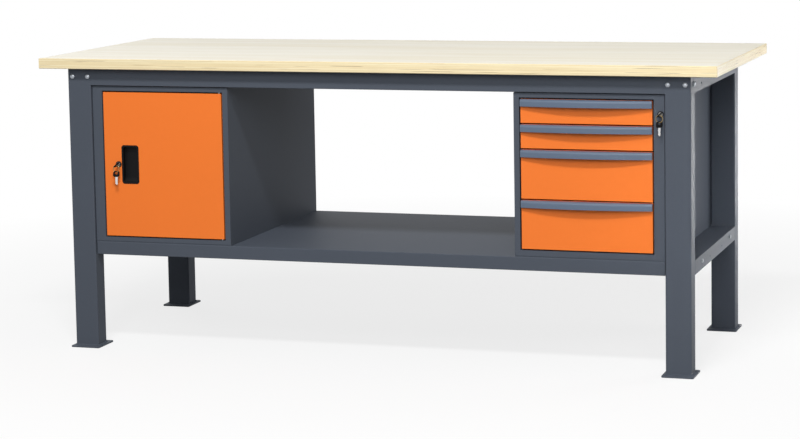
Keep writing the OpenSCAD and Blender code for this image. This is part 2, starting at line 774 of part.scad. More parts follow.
// Spare key that hangs on the lowest point of the ring
module spare_key()
    translate([0, -ring_at, -ring_drop - ring_d - (key_hole_d - ring_wire) / 2 + hang_clear])
    rotate([0, 0, 90 - ring_turn - spare_turn]) {
        hang = key_bow_l - key_hole_edge;
        upright(-key_bow_t / 2, key_bow_t) rotate(-90) translate([hang, 0]) key_bow();
        upright(-key_blade_t / 2, key_blade_t) rotate(-90) translate([hang, 0]) key_blade();
    }

module at_door_lock() left_cabinet() translate([door_lock_x, 0, door_lock_z]) children();
module at_drawer_lock() right_cabinet() translate([drawer_lock_x, 0, drawer_lock_z]) children();

// A key keeps its own hand in the mirrored cabinet
module unmirrored() mirror([1, 0, 0]) children();

module door_lock_housing() color(ZINC) at_door_lock() lock_housing();
module door_lock_plug() color(ZINC) at_door_lock() unmirrored() lock_plug();
module door_key() color(ZINC) at_door_lock() unmirrored() lock_key();
module door_key_ring() color(ZINC) at_door_lock() unmirrored() key_ring();
module door_spare_key() color(ZINC) at_door_lock() unmirrored() spare_key();

// Cam behind the door; it stands upright while the door is free
module door_lock_cam() color(ZINC) at_door_lock() upright(lock_l, cam_t) {
    translate([-cam_w / 2, 0]) square([cam_w, cam_reach - cam_w / 2]);
    circle(d = cam_w);
    translate([0, cam_reach - cam_w / 2]) circle(d = cam_w);
}

module drawer_lock_housing() color(ZINC) at_drawer_lock() lock_housing();
module drawer_key() color(ZINC) at_drawer_lock() lock_key();
module drawer_key_ring() color(ZINC) at_drawer_lock() key_ring();
module drawer_spare_key() color(ZINC) at_drawer_lock() spare_key();

// ---- drawer cabinet ----

module drawer_cabinet_front_frame() color(STEEL_GREY) right_cabinet() difference() {
    front_frame(border_bottom);
    translate([drawer_lock_x, 0, drawer_lock_z]) turned(lock_barrel_d, -1, sheet + 1);
}

module drawer_cabinet_side_walls() color(SHADE_GREY) right_cabinet() side_walls();
module drawer_cabinet_floor_and_roof() color(SHADE_GREY) right_cabinet() floor_and_roof();
module drawer_cabinet_back() color(SHADE_GREY) right_cabinet() back_panel();

// Channel post between floor and roof, open towards the side wall
module runner_post(w) {
    translate([w - post_t, 0, 0]) cube([post_t, post_w, cab_h - 2 * sheet]);
    for (y = [0, post_w - post_t]) translate([0, y, 0]) cube([w - eps, post_t, cab_h - 2 * sheet]);
}

module runner_posts() color(ZINC) right_cabinet() for (y = post_y) {
    translate([sheet, y, sheet]) runner_post(border_in + runner_gap - sheet);
    translate([cab_w - sheet, y, sheet]) mirror([1, 0, 0])
        runner_post(border_leg + runner_gap - sheet);
}

// A runner's section: X out from the drawer's side, Y up from the runner's middle line
module channel(back, reach, half) {
    translate([back - runner_sheet, -half]) square([runner_sheet, 2 * half]);
    for (y = [-half, half - runner_sheet]) translate([reach, y]) square([back - reach, runner_sheet]);
}

module cabinet_runner_section() channel(runner_t, 3.5, runner_h / 2);

module drawer_runner_section() {
    half = runner_h / 2 - 6;
    translate([0, -half]) square([runner_sheet, 2 * half]);
    for (y = [-half, half - runner_sheet]) translate([0, y]) square([7.7, runner_sheet]);
}

module middle_runner_section() channel(10.4, 1.6, runner_h / 2 - 3);

ball_clear = 0.1;
ball_row = 3 - runner_sheet - ball_clear;

// Rows of balls: the outer ones run in the cabinet's runner, the inner ones on the drawer's
module ball_rows(at, half) for (s = [-1, 1])
    translate([at, s * (half + ball_row / 2) - ball_row / 2]) square([4, ball_row]);

// Both runners of drawer n, each drawn from the drawer's side outwards and running back
module runner_pair(n) translate([box_x, runner_front, front_z(n) + runner_z + runner_h / 2]) {
    mirror([1, 0, 0]) children();
    translate([box_w, 0, 0]) children();
}

module cabinet_runners() color(ZINC) right_cabinet() for (n = [1:len(UNITS)])
    runner_pair(n) upright(0, runner_l) cabinet_runner_section();

module middle_runners(n) color(ZINC) right_cabinet() runner_pair(n) {
    upright(0, runner_l) middle_runner_section();
    upright(runner_l / 2, runner_l / 2 - 4) ball_rows(5, runner_h / 2 - 3);
    upright(4, runner_l / 2 - 4) ball_rows(2.5, runner_h / 2 - 6 + ball_clear);
}

// Pan with lips turned in at its back, which lie against the drawer's box
module drawer_front(n) color(ORANGE) right_cabinet() translate([front_x, 0, front_z(n)]) {
    upright(0, sheet) square([front_w, front_h(n)]);
    upright(sheet - eps, front_t - sheet + eps) pan_edge(n, sheet);
    upright(front_t - sheet, sheet) pan_edge(n, front_lip);
}

// The front's outline as a band of the given width
module pan_edge(n, w) difference() {
    square([front_w, front_h(n)]);
    translate([w, w]) square([front_w - 2 * w, front_h(n) - 2 * w]);
}

// The handle's section in radius and height, shrunk on its open side by inset
module handle_section(inset) {
    r = handle_radius - inset;
    h = handle_h - inset;
    round_r = handle_round - inset;
    translate([r - 30, -inset]) square([30, h + inset - round_r]);
    translate([r - 30, -inset]) square([30 - round_r, h + inset]);
    translate([r - round_r, h - round_r]) circle(round_r);
}

module handle_form(inset) translate([front_w / 2, handle_radius - handle_bow, 0])
    rotate([0, 0, 260]) rotate_extrude(angle = 20, $fn = 720) handle_section(inset);

// Bowed pull across the whole front, open below for the fingers
module drawer_handle(n) color(BLUE_GREY) right_cabinet()
    translate([front_x, 0, front_z(n) + front_h(n) - handle_h]) difference() {
        intersection() {
            handle_form(0);
            translate([0, -handle_bow - 1, 0]) cube([front_w, handle_bow + 1, handle_h]);
        }
        intersection() {
            handle_form(handle_wall);
            translate([handle_wall, -handle_bow, -1])
                cube([front_w - 2 * handle_wall, handle_bow - 2, handle_h + 2]);
        }
    }

// A drawer box's outline drawn in by inset, at the box's place
module box_plan(inset) translate([box_x + inset, box_y + inset])
    square([box_w - 2 * inset, box_l - 2 * inset]);

module box_wall_at(inset, z, h) translate([0, 0, z]) linear_extrude(h) difference() {
    box_plan(inset);
    box_plan(inset + box_wall);
}

// Open steel box with a folded rim, its runners and the catch that the locking bar holds
module drawer_box(n) color(STEEL_GREY) right_cabinet() {
    h = front_h(n) - box_z - box_drop;
    translate([0, 0, front_z(n) + box_z]) {
        linear_extrude(box_wall) box_plan(0);
        box_wall_at(0, 0, h);
        translate([0, 0, h - box_wall]) linear_extrude(box_wall) difference() {
            box_plan(0);
            box_plan(box_rim);
        }
        box_wall_at(box_rim, h - box_rim_h, box_rim_h);
    }
    runner_pair(n) upright(0, runner_l) drawer_runner_section();
    translate([box_x + box_w - box_wall, bar_y + bar_t + catch_gap, front_z(n) + catch_z])
        cube([catch_reach + box_wall, catch_t, catch_h]);
}

// ---- central locking ----

function tab_z(n) = front_z(n) + catch_z + catch_h + 1.5;

// Plug whose crank pin stands in the slot of the locking bar
module drawer_lock_plug() color(ZINC) at_drawer_lock() {
    lock_plug();
    upright(lock_l, crank_t) crank_outline();
    rotate([0, crank_swing, 0]) translate([-crank_r, 0, 0])
        turned(crank_pin_d, lock_l, bar_y + bar_t);
}

// Crank seen from the front: a disc on the plug and an arm to the pin
module crank_outline() {
    circle(d = plug_d);
    rotate(180 - crank_swing) {
        translate([0, -crank_pin_d / 2 - 1]) square([crank_r, crank_pin_d + 2]);
        translate([crank_r, 0]) circle(d = crank_pin_d + 2);
    }
}

module locking_bar() color(ZINC) right_cabinet() difference() {
    upright(bar_y, bar_t) {
        z0 = tab_z(len(UNITS)) - 8;
        z1 = max(tab_z(1) + tab_h + 2, slot_z + 2 * slot_r + 4);
        translate([bar_x, z0]) square([bar_w, z1 - z0]);
        for (n = [1:len(UNITS)]) translate([open_right - tab_reach, tab_z(n)])
            square([bar_x + 2 - open_right + tab_reach, tab_h]);
    }
    translate([drawer_lock_x - crank_r - slot_r, bar_y - 1, slot_z])
        cube([crank_r * (1 - cos(crank_swing)) + 2 * slot_r, bar_t + 2, 2 * slot_r]);
}

// Loops on the side wall that keep the bar upright
module locking_bar_guides() color(ZINC) right_cabinet()
    for (z = [tab_z(4) + 50, tab_z(3) + 50]) translate([0, 0, z]) difference() {
        translate([bar_x - guide_clear - guide_t, bar_y - guide_clear - guide_t, 0])
            cube([cab_w - sheet - bar_x + guide_clear + guide_t,
                  bar_t + 2 * (guide_clear + guide_t), guide_h]);
        translate([bar_x - guide_clear, bar_y - guide_clear, -1])
            cube([bar_w + 2 * guide_clear, bar_t + 2 * guide_clear, guide_h + 2]);
    }

worktop();
worktop_screws();
front_legs();
rear_legs();
foot_plates();
front_top_rail();
rear_top_rail();
side_top_rails();
side_lower_rails();
lower_shelf();
shelf_stiffeners();
shelf_screws();
frame_bolts();
frame_nuts();
cabinet_screws();
cupboard_side_walls();
cupboard_floor_and_roof();
cupboard_back();
cupboard_front_frame();
cupboard_shelf();
cupboard_shelf_clips();
door_pivots();
door_panel();
door_bushes();
door_grip();
door_lock_housing();
door_lock_plug();
door_lock_cam();
door_key();
door_key_ring();
door_spare_key();
drawer_cabinet_side_walls();
drawer_cabinet_floor_and_roof();
drawer_cabinet_back();
drawer_cabinet_front_frame();
runner_posts();
cabinet_runners();
locking_bar_guides();
drawer_lock_housing();
drawer_lock_plug();
drawer_key();
drawer_key_ring();
drawer_spare_key();
locking_bar();
drawer_front(1);  // drawer_1_front
drawer_handle(1);  // drawer_1_handle
drawer_box(1);  // drawer_1_box
middle_runners(1);  // drawer_1_middle_runners
drawer_front(2);  // drawer_2_front
drawer_handle(2);  // drawer_2_handle
drawer_box(2);  // drawer_2_box
middle_runners(2);  // drawer_2_middle_runners
drawer_front(3);  // drawer_3_front
drawer_handle(3);  // drawer_3_handle
drawer_box(3);  // drawer_3_box
middle_runners(3);  // drawer_3_middle_runners
drawer_front(4);  // drawer_4_front
drawer_handle(4);  // drawer_4_handle
drawer_box(4);  // drawer_4_box
middle_runners(4);  // drawer_4_middle_runners
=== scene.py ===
"""Finishes and fine details of a steel workbench with a cupboard and a drawer cabinet.

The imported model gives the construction. This script gives every piece its finish, softens the
edges of the visible sheet metal, and makes the details that ride on each body: the keys'
moulded heads and cut blades, the coiled key rings, the weld beads, and the channels, balls
and ball cages of the runners' middle members. Lengths are in metres, in the model's own
frame: X along the bench, Y to the back, Z up.
"""
import json
import math

import bmesh
import bpy
from mathutils import Matrix, Vector


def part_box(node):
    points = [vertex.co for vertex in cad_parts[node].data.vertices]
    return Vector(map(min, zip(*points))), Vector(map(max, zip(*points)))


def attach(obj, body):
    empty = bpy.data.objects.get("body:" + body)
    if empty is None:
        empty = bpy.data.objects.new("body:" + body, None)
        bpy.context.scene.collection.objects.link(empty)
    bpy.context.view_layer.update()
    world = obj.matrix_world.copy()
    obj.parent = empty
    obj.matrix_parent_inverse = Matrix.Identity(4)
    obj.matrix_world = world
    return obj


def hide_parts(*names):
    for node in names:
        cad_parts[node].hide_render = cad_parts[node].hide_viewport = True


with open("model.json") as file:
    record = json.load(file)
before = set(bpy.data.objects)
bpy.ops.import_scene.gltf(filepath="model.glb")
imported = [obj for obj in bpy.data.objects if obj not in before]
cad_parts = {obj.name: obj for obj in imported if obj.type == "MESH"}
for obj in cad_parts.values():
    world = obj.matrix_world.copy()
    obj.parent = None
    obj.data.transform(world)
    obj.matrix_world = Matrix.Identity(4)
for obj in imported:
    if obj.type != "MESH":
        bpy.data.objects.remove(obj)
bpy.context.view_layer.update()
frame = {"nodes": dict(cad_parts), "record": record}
record = frame["record"]

MM = 0.001
SLOT_OF = {part["node"]: part["material_slot"] for part in record["subparts"]}
BODY_OF = {node: body for body, nodes in record["behaviour"]["bodies"].items() for node in nodes}
JOINT_AT = {joint["name"]: Vector(joint["pos_m"]) for joint in record["behaviour"]["joints"]
            if "pos_m" in joint}
DRAWERS = range(1, 5)


# ---- helpers for colours and node trees ----

def srgb(red, green, blue):
    """A linear colour from 0 to 255 display values, by the sRGB curve."""
    def linear(value):
        value /= 255
        return value / 12.92 if value <= 0.04045 else ((value + 0.055) / 1.055) ** 2.4
    return (linear(red), linear(green), linear(blue), 1.0)


class Tree:
    """A node tree with short calls to add nodes and link sockets."""

    def __init__(self, tree):
        self.tree = tree

    def node(self, kind, inputs=None, **settings):
        """Adds a node. Its inputs take values or sockets; settings are its own options."""
        made = self.tree.nodes.new(kind)
        for name, value in settings.items():
            setattr(made, name, value)
        for name, value in (inputs or {}).items():
            self.feed(made.inputs[name], value)
        return made

    def feed(self, socket, value):
        """Links a socket to the given one, or sets it to the given value."""
        if isinstance(value, bpy.types.NodeSocket):
            self.tree.links.new(value, socket)
        else:
            socket.default_value = value

    def math(self, operation, first, second=0.0, clamp=False):
        made = self.tree.nodes.new("ShaderNodeMath")
        made.operation = operation
        made.use_clamp = clamp
        self.feed(made.inputs[0], first)
        self.feed(made.inputs[1], second)
        return made.outputs[0]

    def mix_colour(self, factor, first, second):
        made = self.tree.nodes.new("ShaderNodeMix")
        made.data_type = "RGBA"
        self.feed(made.inputs["Factor"], factor)
        self.feed(made.inputs["A"], first)
        self.feed(made.inputs["B"], second)
        return made.outputs["Result"]

    def remap(self, value, low, high, to_low=0.0, to_high=1.0):
        """Stretches the range from low to high onto the range from to_low to to_high."""
        made = self.tree.nodes.new("ShaderNodeMapRange")
        self.feed(made.inputs["Value"], value)
        made.inputs["From Min"].default_value = low
        made.inputs["From Max"].default_value = high
        made.inputs["To Min"].default_value = to_low
        made.inputs["To Max"].default_value = to_high
        return made.outputs["Result"]

    def noise(self, place, scale, detail, distortion=0.0):
        """Noise around 0.5."""
        made = self.node("ShaderNodeTexNoise", {"Vector": place, "Scale": scale,
                                                "Detail": detail, "Distortion": distortion})
        return made.outputs["Fac"]

    def object_place(self):
        """The shaded point in the piece's own coordinates."""
        return self.node("ShaderNodeTexCoord").outputs["Object"]


def new_group(name, inputs, outputs):
    """A shader node group; returns it with its tree and its input and output nodes."""
    group = bpy.data.node_groups.new(name, "ShaderNodeTree")
    for label, (kind, default) in inputs.items():
        socket = group.interface.new_socket(label, in_out="INPUT", socket_type=kind)
        socket.default_value = default
    for label, kind in outputs.items():
        group.interface.new_socket(label, in_out="OUTPUT", socket_type=kind)
    tree = Tree(group)
    return group, tree, tree.node("NodeGroupInput"), tree.node("NodeGroupOutput")


def new_material(name, **settings):
    """A material with a Principled BSDF; settings are constants on its own sockets."""
    material = bpy.data.materials.new(name)
    material.use_nodes = True
    shader = material.node_tree.nodes["Principled BSDF"]
    for label, value in settings.items():
        shader.inputs[label.replace("_", " ")].default_value = value
    return material, Tree(material.node_tree), shader


def bump(tree, shader, height, distance, strength=0.5):
    """Gives a shader relief; distance is the relief's height in metres."""
    made = tree.node("ShaderNodeBump",
                     {"Height": height, "Distance": distance, "Strength": strength})
    tree.feed(shader.inputs["Normal"], made.outputs["Normal"])


FLOAT = "NodeSocketFloat"
COLOUR = "NodeSocketColor"
# most of a noise lies between these two
NOISE_LOW = 0.3
NOISE_HIGH = 0.7


# ---- paint and moulded plastic ----

CLOUD_SCALE = 2.6
SPECK_SCALE = 95.0
TONE_SWING = 2.0
ROUGHNESS_SWING = 0.8


def make_coat_group():
    """Sprayed or moulded skin: orange peel, a little cloudiness and settled dust."""
    group, tree, given, out = new_group(
        "sprayed_skin",
        {"Colour": (COLOUR, (0.5, 0.5, 0.5, 1)), "Peel size mm": (FLOAT, 1.2),
         "Cloudiness": (FLOAT, 0.06), "Roughness": (FLOAT, 0.4)},
        {"Colour": COLOUR, "Roughness": FLOAT, "Height": FLOAT})
    cloudiness = given.outputs["Cloudiness"]
    place = tree.object_place()
    peel_scale = tree.math("DIVIDE", 1.0 / MM, given.outputs["Peel size mm"])
    peel = tree.noise(place, peel_scale, 1.0)
    cloud = tree.noise(place, CLOUD_SCALE, 3.0)
    speck = tree.noise(place, SPECK_SCALE, 4.0)
    broad = tree.math("MULTIPLY", tree.math("SUBTRACT", cloud, 0.5), cloudiness)
    fine = tree.math("MULTIPLY", tree.math("SUBTRACT", speck, 0.5),
                     tree.math("MULTIPLY", cloudiness, 0.5))
    swing = tree.math("ADD", broad, fine)
    tinted = tree.node("ShaderNodeVectorMath", operation="SCALE")
    tree.feed(tinted.inputs[0], given.outputs["Colour"])
    tree.feed(tinted.inputs["Scale"],
              tree.math("ADD", 1.0, tree.math("MULTIPLY", swing, TONE_SWING)))
    rough = tree.math("ADD", given.outputs["Roughness"],
                      tree.math("MULTIPLY", swing, ROUGHNESS_SWING), clamp=True)
    tree.feed(out.inputs["Colour"], tinted.outputs[0])
    tree.feed(out.inputs["Roughness"], rough)
    tree.feed(out.inputs["Height"], peel)
    return group


COAT = make_coat_group()


def coated(name, colour, roughness, peel_mm, cloudiness, peel_height=0.06 * MM, **settings):
    """Paint or moulded plastic with the shared skin."""
    material, tree, shader = new_material(name, **settings)
    skin = tree.node("ShaderNodeGroup", node_tree=COAT)
    skin.inputs["Colour"].default_value = colour
    skin.inputs["Peel size mm"].default_value = peel_mm
    skin.inputs["Cloudiness"].default_value = cloudiness
    skin.inputs["Roughness"].default_value = roughness
    tree.feed(shader.inputs["Base Color"], skin.outputs["Colour"])
    tree.feed(shader.inputs["Roughness"], skin.outputs["Roughness"])
    bump(tree, shader, skin.outputs["Height"], peel_height)
    return material


# ---- metal ----

DULL_SHARE = 0.82
GRAIN_HEIGHT = 0.03 * MM
GRAIN_STRENGTH = 0.3


def metal(name, colour, roughness, grain_scale, spread):
    """Plated or bare metal with fine grain and dull patches."""
    material, tree, shader = new_material(name, Metallic=1.0)
    patches = tree.noise(tree.object_place(), grain_scale, 5.0)
    dull = [channel * DULL_SHARE for channel in colour[:3]] + [1]
    tree.feed(shader.inputs["Base Color"], tree.mix_colour(patches, dull, colour))
    tree.feed(shader.inputs["Roughness"],
              tree.remap(patches, NOISE_LOW, NOISE_HIGH, roughness - spread,
                         roughness + spread))
    bump(tree, shader, patches, GRAIN_HEIGHT, GRAIN_STRENGTH)
    return material


# ---- plywood ----

PLIES = 15
TOP_LOW, TOP_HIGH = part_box("worktop")
BIRCH_PALE = srgb(242, 238, 225)
BIRCH_WARM = srgb(235, 228, 208)
BIRCH_FIBRE = srgb(206, 190, 156)
PLY_TAN = srgb(238, 221, 178)
PLY_PALE = srgb(250, 239, 204)
PLY_DEEP = srgb(222, 192, 132)
GLUE_BROWN = srgb(168, 130, 84)
VOID_SHADE_BROWN = srgb(138, 112, 82)
# how fine each pattern is along the bench, across it and upwards, in repeats per metre
FIGURE_SCALE = (1.1, 13.0, 1.0)
FIBRE_SCALE = (7.0, 420.0, 1.0)
STREAK_SCALE = (3.2, 3.2, 650.0)
GLUE_PATCH_SCALE = (5.5, 5.5, 90.0)
GAP_SCALE = (6.0, 6.0, 420.0)
# the most that each one changes the colour below it
FIBRE_SHARE = 0.16
PLY_SHARE = 0.35
GLUE_SHARES = (0.12, 0.75)
# from the middle of a ply, 0, to the glue, 0.5: where the glue and the gaps set in
GLUE_FADE = (0.40, 0.49)
GAP_FADE = (0.22, 0.36)
# how far a surface faces up: below the first it is an edge, above the second a face
EDGE_TO_FACE = (0.75, 0.95)
PLY_ROUGHNESS = (0.42, 0.56)
PLY_RELIEF = 0.08 * MM
GLUE_GROOVE = -1.5


def grain(tree, place, scale, detail, distortion=0.0):
    """Noise drawn out along the axes that have the smaller scales."""
    mapped = tree.node("ShaderNodeMapping", {"Vector": place, "Scale": scale})
    return tree.noise(mapped.outputs["Vector"], 1.0, detail, distortion)


def plywood_face(tree, place):
    """A broad faint figure and fine fibres along the bench; the colour and the fibres."""
    figure = grain(tree, place, FIGURE_SCALE, 3.0, 0.6)
    fibre = grain(tree, place, FIBRE_SCALE, 2.0)
    face = tree.mix_colour(tree.remap(figure, 0.35, 0.68), BIRCH_PALE, BIRCH_WARM)
    face = tree.mix_colour(tree.remap(fibre, 0.45, 0.75, 0.0, FIBRE_SHARE), face,
                           BIRCH_FIBRE)
    return face, fibre


def plywood_edge(tree, place):
    """Plies in tones of their own, with patchy glue lines and a few gaps whose dark brown is
    painted shade over their own wood; colour and glue.
    """
    height = tree.node("ShaderNodeSeparateXYZ", {"Vector": place}).outputs["Z"]
    ply_thickness = (TOP_HIGH.z - TOP_LOW.z) / PLIES
    level = tree.math("DIVIDE", tree.math("SUBTRACT", height, TOP_LOW.z), ply_thickness)
    tone = tree.node("ShaderNodeTexWhiteNoise", noise_dimensions="1D")
    tree.feed(tone.inputs["W"], tree.math("FLOOR", level))
    streak = grain(tree, place, STREAK_SCALE, 3.0)
    edge = tree.mix_colour(tree.remap(streak, NOISE_LOW, NOISE_HIGH), PLY_TAN, PLY_PALE)
    deeper = tree.math("MULTIPLY", tone.outputs["Value"], PLY_SHARE)
    edge = tree.mix_colour(deeper, edge, PLY_DEEP)

    off_middle = tree.math("ABSOLUTE", tree.math("SUBTRACT", tree.math("FRACT", level), 0.5))
    glue = tree.remap(off_middle, *GLUE_FADE)
    patchy = tree.remap(grain(tree, place, GLUE_PATCH_SCALE, 2.0), 0.46, 0.60, *GLUE_SHARES)
    edge = tree.mix_colour(tree.math("MULTIPLY", glue, patchy), edge, GLUE_BROWN)
    # the gaps are voids in the plies: their brown is partly their own rough wood and partly
    # painted shade inside them
    rare = tree.remap(grain(tree, place, GAP_SCALE, 1.0), 0.66, 0.70)
    gaps = tree.math("MULTIPLY", rare, tree.remap(off_middle, *GAP_FADE))
    edge = tree.mix_colour(gaps, edge, VOID_SHADE_BROWN)
    return edge, glue


def plywood_material():
    """Pale birch faces with long faint grain; at the edges, plies with dark glue lines."""
    material, tree, shader = new_material("plywood", Specular_IOR_Level=0.3)
    place = tree.object_place()
    face, fibre = plywood_face(tree, place)
    edge, glue = plywood_edge(tree, place)
    normal = tree.node("ShaderNodeSeparateXYZ",
                       {"Vector": tree.node("ShaderNodeNewGeometry").outputs["Normal"]})
    flat = tree.remap(tree.math("ABSOLUTE", normal.outputs["Z"]), *EDGE_TO_FACE)
    tree.feed(shader.inputs["Base Color"], tree.mix_colour(flat, edge, face))
    tree.feed(shader.inputs["Roughness"], tree.remap(fibre, NOISE_LOW, NOISE_HIGH, *PLY_ROUGHNESS))
    height = tree.math("ADD", fibre, tree.math("MULTIPLY", glue, GLUE_GROOVE))
    bump(tree, shader, height, PLY_RELIEF)
    return material


# ---- the finishes ----

FINISHES = {
    "plywood": plywood_material(),
    "grey_paint": coated("grey_paint", srgb(77, 83, 93), 0.58, 1.4, 0.05,
                         Specular_IOR_Level=0.15),
    "orange_paint": coated("orange_paint", srgb(242, 123, 46), 0.45, 1.3, 0.025,
                           Specular_IOR_Level=0.3),
    "blue_grey_plastic": coated("blue_grey_plastic", srgb(93, 107, 126), 0.5, 0.6, 0.04,
                                Specular_IOR_Level=0.3),
    "black_plastic": coated("black_plastic", srgb(13, 13, 14), 0.55, 0.5, 0.08, 0.04 * MM,
                            Specular_IOR_Level=0.12),
    "zinc_plated_steel": metal("zinc_plated_steel", srgb(164, 169, 176), 0.40, 130.0, 0.08),
    "darker_lock_nickel": metal("darker_lock_nickel", srgb(46, 46, 50), 0.34, 60.0, 0.05),
    "lock_nickel": metal("lock_nickel", srgb(150, 149, 145), 0.26, 60.0, 0.05),
    "key_steel": metal("key_steel", srgb(222, 222, 222), 0.26, 180.0, 0.06),
    "ring_brass": metal("ring_brass", srgb(162, 138, 90), 0.30, 90.0, 0.06),
}

# the locks' housings get a darker copy of the plugs' nickel, though both share one slot
DARKER = {"door_lock_housing": "darker_lock_nickel", "drawer_lock_housing": "darker_lock_nickel"}


def finish_of(node_name):
    """The finish of a CAD node: its slot's, unless it is a darker one."""
    return DARKER.get(node_name, SLOT_OF[node_name])


def give(piece, finish_name):
    """Puts a finish on all of a piece."""
    piece.data.materials.clear()
    piece.data.materials.append(FINISHES[finish_name])


for node_name, node_object in frame["nodes"].items():
    give(node_object, finish_of(node_name))


# ---- helpers for pieces ----

SHARP = math.radians(35)


def new_object(name, mesh):
    """An object with this mesh, in the scene, at the origin."""
    piece = bpy.data.objects.new(name, mesh)
    bpy.context.scene.collection.objects.link(piece)
    return piece


def bake(piece):
    """Turns a piece's modifiers into plain mesh."""
    graph = bpy.context.evaluated_depsgraph_get()
    made = bpy.data.meshes.new_from_object(piece.evaluated_get(graph), depsgraph=graph)
    piece.modifiers.clear()
    piece.data = made


def add_piece(piece, body, slot_name, *replaced):
    """Gives a finished piece its finish, its body and the nodes that it stands for."""
    give(piece, slot_name)
    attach(piece, body)
    if replaced:
        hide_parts(*replaced)


def round_edges(piece, radius, segments=2):
    """Rounds a piece's sharp edges and keeps its flat faces shaded flat."""
    bevel = piece.modifiers.new("edges", "BEVEL")
    bevel.width = radius
    bevel.segments = segments
    bevel.limit_method = "ANGLE"
    bevel.angle_limit = SHARP
    level = piece.modifiers.new("flat_faces_stay_flat", "WEIGHTED_NORMAL")
    level.mode = "FACE_AREA"
    level.weight = 100
    bake(piece)


def shade(mesh, smooth):
    """Shades all of a mesh smooth or flat."""
    mesh.polygons.foreach_set("use_smooth", [smooth] * len(mesh.polygons))


def mesh_piece(name, points, faces, place=Matrix.Identity(4), smooth=True):
    """A mesh object at the origin, with its place in its mesh and its faces outwards."""
    mesh = bpy.data.meshes.new(name)
    mesh.from_pydata([place @ Vector(point) for point in points], [], faces)
    form = bmesh.new()
    form.from_mesh(mesh)
    bmesh.ops.recalc_face_normals(form, faces=form.faces)
    form.to_mesh(mesh)
    form.free()
    shade(mesh, smooth)
    return new_object(name, mesh)


def grid_faces(rings, per_ring, closed):
    """Quads between rings of points; closed joins the last ring to the first."""
    faces = []
    for ring in range(rings if closed else rings - 1):
        after = (ring + 1) % rings
        for place in range(per_ring):
            beside = (place + 1) % per_ring
            faces.append((ring * per_ring + place, ring * per_ring + beside,
                          after * per_ring + beside, after * per_ring + place))
    return faces


def slab(name, outline, thickness, place, edge):
    """A plate with the given outline, centred on it, with small rounded edges."""
    count = len(outline)
    points = [(x, y, side * thickness / 2) for side in (-1, 1) for x, y in outline]
    faces = [tuple(range(count)), tuple(range(2 * count - 1, count - 1, -1))]
    faces += grid_faces(2, count, False)
    piece = mesh_piece(name, points, faces, place)
    round_edges(piece, edge)
    return piece


def add_bar(points, faces, outline, low, high):
    """Adds a straight bar along Y, from low to high, to lists of points and faces."""
    first = len(points)
    count = len(outline)
    points += [(x, y, z) for y in (low, high) for x, z in outline]
    faces += [tuple(first + corner for corner in side) for side in grid_faces(2, count, False)]
    faces += [tuple(range(first, first + count)),
              tuple(range(first + count, first + 2 * count))]


# ---- softened edges of the sheet metal and the moulded parts ----

SAME_POINT = 0.02 * MM
SAME_PLANE = math.radians(0.5)
SOFT_EDGES_MM = {
    "front_legs": 0.3, "rear_legs": 0.3, "foot_plates": 1.0, "front_top_rail": 0.2,
    "rear_top_rail": 0.2, "side_top_rails": 0.2, "side_lower_rails": 0.6, "lower_shelf": 0.5,
    "cupboard_front_frame": 0.5, "drawer_cabinet_front_frame": 0.5, "door_panel": 0.5,
    "door_grip": 0.6, "door_lock_housing": 0.3, "drawer_lock_housing": 0.3,
}
for number in DRAWERS:
    SOFT_EDGES_MM[f"drawer_{number}_front"] = 0.5
    SOFT_EDGES_MM[f"drawer_{number}_handle"] = 0.7


def soften(node_name, radius):
    """Stands for a node: the same shape with its sharp edges rounded by a small radius."""
    mesh = frame["nodes"][node_name].data.copy()
    form = bmesh.new()
    form.from_mesh(mesh)
    bmesh.ops.remove_doubles(form, verts=form.verts, dist=SAME_POINT)
    bmesh.ops.dissolve_limit(form, angle_limit=SAME_PLANE, verts=form.verts,
                             edges=form.edges, use_dissolve_boundaries=False)
    form.to_mesh(mesh)
    form.free()
    piece = new_object(node_name + "_soft_edges", mesh)
    shade(mesh, True)
    round_edges(piece, radius)
    add_piece(piece, BODY_OF[node_name], SLOT_OF[node_name], node_name)
    give(piece, finish_of(node_name))


for node_name, radius_mm in SOFT_EDGES_MM.items():
    soften(node_name, radius_mm * MM)


# ---- keys and rings: a key is drawn along X, its blade from 0 and its head before 0 ----

HEAD_LENGTH = 18 * MM
HEAD_WIDTH = 20 * MM
HEAD_THICK = 2.6 * MM
HEAD_BOXINESS = 0.66
HEAD_STEPS = 48
HOLE_WIDTH = 8 * MM
HOLE_X = -12 * MM
HOLE_LIP = 0.8 * MM

BLADE_LENGTH = 22 * MM
BLADE_WIDTH = 7 * MM
BLADE_THICK = 1.8 * MM
BLADE_ROOT = 1.5 * MM
BLADE_TIP = 2.8 * MM
BLADE_EDGE = 0.15 * MM
NOTCH_FIRST = 9 * MM
NOTCH_PITCH = 4 * MM
NOTCH_DEPTHS = (1.27 * MM, 1.69 * MM, 1.27 * MM, 1.69 * MM)

RING_RADIUS = 10 * MM
RING_WIRE = 1.6 * MM
RING_TURNS = 2
RING_STEPS = 144
RING_CORNER = 0.6
# in radians: what the wire leaves open at its end, and where it starts to cross over, before
# its first turn is full, and how long that takes
RING_END_GAP = 0.2
RING_CROSS_LEAD = 0.3
RING_CROSS_SPAN = 0.4
RING_DROP = 10.5 * MM

KEY_TILT = math.radians(45)
RING_TURN = math.radians(-10)
SPARE_TURN = math.radians(40)


def bowed(value):
    """Pushes a sine or cosine outwards, which makes a round outline boxier."""
    return math.copysign(abs(value) ** HEAD_BOXINESS, value)


